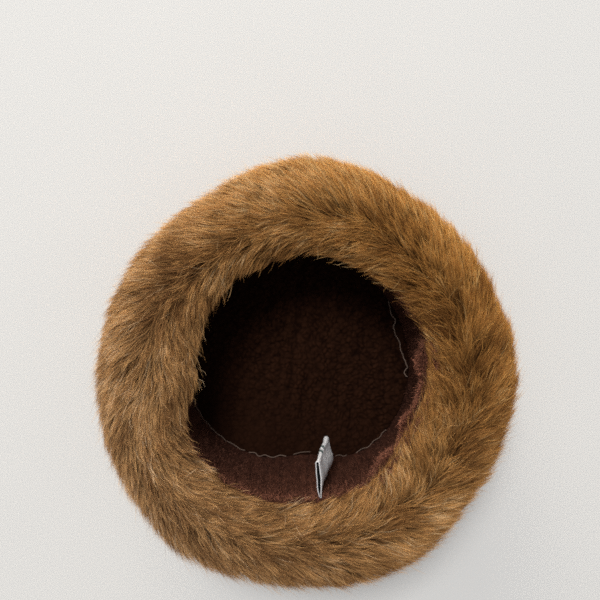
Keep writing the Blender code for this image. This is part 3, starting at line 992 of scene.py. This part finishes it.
def fleeceWires(wire):
    place = placeOf(wire)
    nubs = wire.node("ShaderNodeAttribute", {"attribute_name": "nubs"}, output=2)
    curls = noiseOf(place, 900.0, 3.0)
    patches = noiseOf(place, 30.0, 2.0)
    # colour follows the nub height: painted shade, darker in the cracks between the nubs
    raised = nubs ** 1.4 * .8 + curls * .25 + patches * .25 - .18
    colour = raised.mix((.0042, .0012, .0006), (.0345, .0122, .0056))
    bump = bumpOf(curls, .7, .0008)
    return {"Base Color": colour, "Normal": bump, "Roughness": .9 - nubs * .1}


fleeceFinish = finishOf("fleeceCrown", {"Specular IOR Level": .04}, fleeceWires)
mesh = fleeceMesh()
putIn("fleece_crown", mesh, fleeceFinish, ["crown_lining"])
print("fleece crown made,", len(mesh.polygons), "faces")

# Woven label: a ribbon folded into a loop, sewn in beside the lining's join
label = {
    "width": .0370, "nearHeight": .1165, "thickness": .0005, "clearance": .0009, "footGap": .0005,
    "acrossSteps": 44, "straightSteps": 26, "foldSteps": 12,
}
# At the edge nearest the opening and at the far edge: where the foot and the fold lie, how far the layers
# stand apart at the fold, and the bulge of the left and the belly of the right layer
labelEdges = {
    "footX": (.0090, .0098), "foldX": (.0070, .0146), "foldY": (-.0592, -.0508), "foldGap": (.0019, .0034),
    "bulge": (.0006, .0002), "belly": (.0007, .0062),
}


# Loop at each share of the width: from the left foot to the fold, half round it, and back with a belly of
# sin(pi * share) ** 1.5 in the right layer. The layers draw apart towards the fold as share ** .7.
def labelPoints():
    share = np.linspace(0, 1, label["acrossSteps"])
    footX, foldX, foldY, foldGap, bulge, belly = (
        near + (far - near) * share for near, far in labelEdges.values()
    )
    height = label["nearHeight"] - label["width"] * share
    footAngle = np.arctan2(-roundHat(hatForm["rim"], np.full_like(share, -math.pi / 2)), footX)
    wall = liningRadius(footAngle, height) - label["clearance"]
    foot = np.stack((footX, -np.sqrt(wall ** 2 - footX ** 2)), axis=-1)
    fold = np.stack((foldX, foldY), axis=-1)
    run = fold - foot
    along = unit(run)
    across = np.stack((along[:, 1], -along[:, 0]), axis=-1)

    def halfGap(step, bend, power):
        apart = label["footGap"] + (foldGap - label["footGap"]) * step ** .7
        return (apart / 2 + bend * math.sin(math.pi * step) ** power)[:, None]

    rows = []
    for step in np.linspace(0, 1, label["straightSteps"]):
        rows.append(foot + run * step - across * halfGap(step, bulge, 1))
    half = (foldGap / 2)[:, None]
    for turn in np.linspace(0, math.pi, label["foldSteps"] + 2)[1:-1]:
        rows.append(fold + half * (math.sin(turn) * along - math.cos(turn) * across))
    for step in np.linspace(1, 0, label["straightSteps"]):
        rows.append(foot + run * step + across * halfGap(step, belly, 1.5))
    flat = np.stack(rows)
    heights = np.broadcast_to(height[None, :, None], (len(rows), len(share), 1))
    return np.concatenate((flat, heights), axis=-1)


points = labelPoints()
points[..., 0] += softNoise(points, .011, 71) * .0004 + softNoise(points, .005, 72) * .00012


def labelWires(wire):
    uv = uvOf(wire)
    along, across = partsOf(uv)
    warp = wire.math("SINE", across * 900)
    weft = wire.math("SINE", along * 1500)
    weave = warp * weft * .5 + .5
    grain = noiseOf(uv, 30.0, 3.0)
    colour = (weave * .15 + grain * .85).mix((.78, .775, .79), (.93, .925, .935))
    # two plain bands across the ribbon, a little askew, on both sides of the fold
    stops = [(0, 0), *stripeStops(.370, .435, .02), *stripeStops(.550, .610, .02)]
    bands = greysOf(across + along * .35 - .175, stops)
    nearFold = greysOf(along, [(0, 0), *stripeStops(.43, .57, .03)])
    colour = (bands * nearFold * .9).mix(colour, (.012, .055, .050))
    bump = bumpOf(weave, .25, .00012)
    return {"Base Color": colour, "Normal": bump, "Roughness": .62 + weave * .15}


labelFinish = finishOf("wovenRibbon", {"Specular IOR Level": .4}, labelWires)


# The ribbon's back: dark, painted shade between the loop's layers
def labelBackWires(wire):
    uv = uvOf(wire)
    grain = noiseOf(uv, 40.0, 3.0)
    bump = bumpOf(grain, .3, .0002)
    colour = grain.mix((.060, .072, .074), (.130, .142, .145))
    return {"Base Color": colour, "Normal": bump, "Roughness": .7 + grain * .1}


mesh = gridMesh("care_ribbon", points, uv=gridUv(points.shape[0] - 1, points.shape[1] - 1))
careRibbon = putIn("care_ribbon", mesh, labelFinish, ["care_label"])
# painted shade on the back, between the loop's layers
mesh.materials.append(finishOf("ribbonBackShade", {"Specular IOR Level": .3}, labelBackWires))
wall = careRibbon.modifiers.new("ribbonThickness", "SOLIDIFY")
wall.thickness, wall.offset, wall.use_even_offset = label["thickness"], 0, True
wall.material_offset = 1

# Seam thread: radius in millimetres, then places: an angle in degrees, how far in from the wall, and the
# height, both in millimetres
threads = {
    "leftRun": (.25, (
        (196, 1.0, 48), (199, 1.3, 45), (202, .9, 42), (205, 1.3, 39.5), (208, .9, 37.5), (212, 1.4, 35),
        (216, 1.0, 33.6), (220, 1.5, 32.6), (224, 1.1, 32.4), (228, 1.6, 32), (232, 1.2, 33), (235, 1.6, 32),
    )),
    "zigZag": (.25, (
        (237, 1.2, 33), (240, 2.2, 32), (243, 1.2, 33.6), (246, 2.4, 32), (250, 1.2, 33.8), (254, 2.3, 32),
        (258, 1.4, 33),
    )),
    "faintRun": (.20, ((262, 2.0, 31.8), (266, 2.8, 31.4), (270, 3.0, 31.2), (273, 3.2, 31.2))),
    "rightRun": (.20, ((287, 1.2, 33), (289.5, 2.0, 32), (292, 1.2, 33.4), (294, 1.8, 32.4))),
    "farRun": (.22, (
        (299, 1.2, 33), (303, 2.0, 32), (307, 1.1, 33.6), (311, 2.0, 32), (315, 1.2, 33.4), (318, 1.8, 32.4),
        (320.5, 1.2, 33),
    )),
    "looseEnd": (.36, (
        (37.2, 1.0, 33.4), (33.7, 2.6, 32), (30.1, 4.4, 31.2), (25.7, 3.5, 31.6), (22.4, 7.2, 31),
        (18.1, 7.4, 31), (13.3, 6.0, 31), (8.3, 5.8, 31), (3.5, 4.2, 31.2), (-1.6, 1.6, 32.4),
        (-3.5, 3.0, 32.2), (-5.4, 3.8, 31.8), (-7.5, 1.2, 33),
    )),
}
threadForm = {"sides": 6, "step": .0008, "seamRadius": .09, "wander": (.0003, .0003, .0004)}


# Tube: rings of sides points about a line, in the plane across it, thinner at its last two rings
def tubePoints(line, radius, sides):
    tangent = unit(np.gradient(line, axis=0))
    side = unit(np.cross(tangent, (0, 0, 1.0)))
    up = np.cross(side, tangent)
    turn = np.linspace(0, fullTurn, sides, endpoint=False)
    ring = side[:, None] * np.cos(turn)[None, :, None] + up[:, None] * np.sin(turn)[None, :, None]
    thick = radius * np.minimum(1, np.minimum(np.arange(len(line)) + .4, np.arange(len(line))[::-1] + .4))
    return line[:, None] + ring * thick[:, None, None]


def threadWires(wire):
    place = placeOf(wire)
    twist = noiseOf(place, 2400.0, 2.0)
    colour = twist.mix((.150, .095, .070), (.400, .290, .225))
    bump = bumpOf(twist, .6, .0002)
    return {"Base Color": colour, "Normal": bump, "Roughness": .7 + twist * .2}


threadFinish = finishOf("seamThread", {"Specular IOR Level": .3}, threadWires)
for name, (radius, places) in threads.items():
    places = np.array(places) * (1, .001, .001)
    turned = np.abs(np.diff(np.radians(places[:, 0]))).sum()
    steps = int(turned * threadForm["seamRadius"] / threadForm["step"]) + 4
    place = np.linspace(0, len(places) - 1, steps)
    angle, inset, height = (smoothThrough(column, place) for column in places.T)
    angle = np.radians(angle)
    line = polar(liningRadius(angle, height) - inset, angle, height)
    line = line + softNoise(line, .005, 81)[:, None] * np.array(threadForm["wander"])
    mesh = endedMesh("thread_" + name, tubePoints(line, radius * .001, threadForm["sides"]))
    putIn("thread_" + name, mesh, threadFinish)
print("seam threads made")

# Floor, light and camera
studio = {
    "floor": (.80, .795, .775), "halfFloor": 9, "world": (.985, .985, 1.0), "worldStrength": .31,
    "camera": (-.005, .0525, .527), "lens": 36, "aimHeight": .10,
}
# Lights: watts, size, spread in degrees, colour and place
lights = {
    "softKey": (90.0, 1.2, 180, (1, 1, 1), (-.53, 1.45, 3.47)),
    "softTop": (9.5, 2.6, 50, (1.0, .90, .75), (-1.1, 3.75, 1.45)),
}


def floorWires(wire):
    place = placeOf(wire)
    grain = noiseOf(place, 12.0, 4.0)
    colour = grain.mix([.97 * part for part in studio["floor"]], studio["floor"])
    return {"Base Color": colour, "Roughness": .85 + grain * .1}


half = studio["halfFloor"]
floorMesh = bpy.data.meshes.new("floor")
corners = [(-half, -half, 0), (half, -half, 0), (half, half, 0), (-half, half, 0)]
floorMesh.from_pydata(corners, [], [(0, 1, 2, 3)])
floorMesh.materials.append(finishOf("paleFloor", {"Specular IOR Level": .2}, floorWires))
floor = linked("floor", floorMesh)
floor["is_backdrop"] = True

world = bpy.data.worlds.new("studio")
world.use_nodes = True
background = world.node_tree.nodes["Background"].inputs
background["Color"].default_value = (*studio["world"], 1)
background["Strength"].default_value = studio["worldStrength"]
bpy.context.scene.world = world

for name, (strength, size, spread, colour, place) in lights.items():
    lightData = bpy.data.lights.new(name, "AREA")
    lightData.energy, lightData.size, lightData.color = strength, size, colour
    lightData.spread = math.radians(spread)
    light = linked(name, lightData)
    light.location = place
    aim = -light.location.copy()
    aim.z += studio["aimHeight"]
    light.rotation_euler = aim.to_track_quat("-Z", "Y").to_euler()

cameraData = bpy.data.cameras.new("camera")
cameraData.lens, cameraData.sensor_width = studio["lens"], 36
camera = linked("camera", cameraData)
camera.location = studio["camera"]
bpy.context.scene.camera = camera
bpy.context.scene.view_settings.view_transform = "Standard"
bpy.context.scene.cycles.use_denoising = False
bpy.context.scene.cycles.filter_width = 1.8

triangles = sum(sum(len(face.vertices) - 2 for face in piece.data.polygons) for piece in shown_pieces())
print("triangles in all:", triangles)
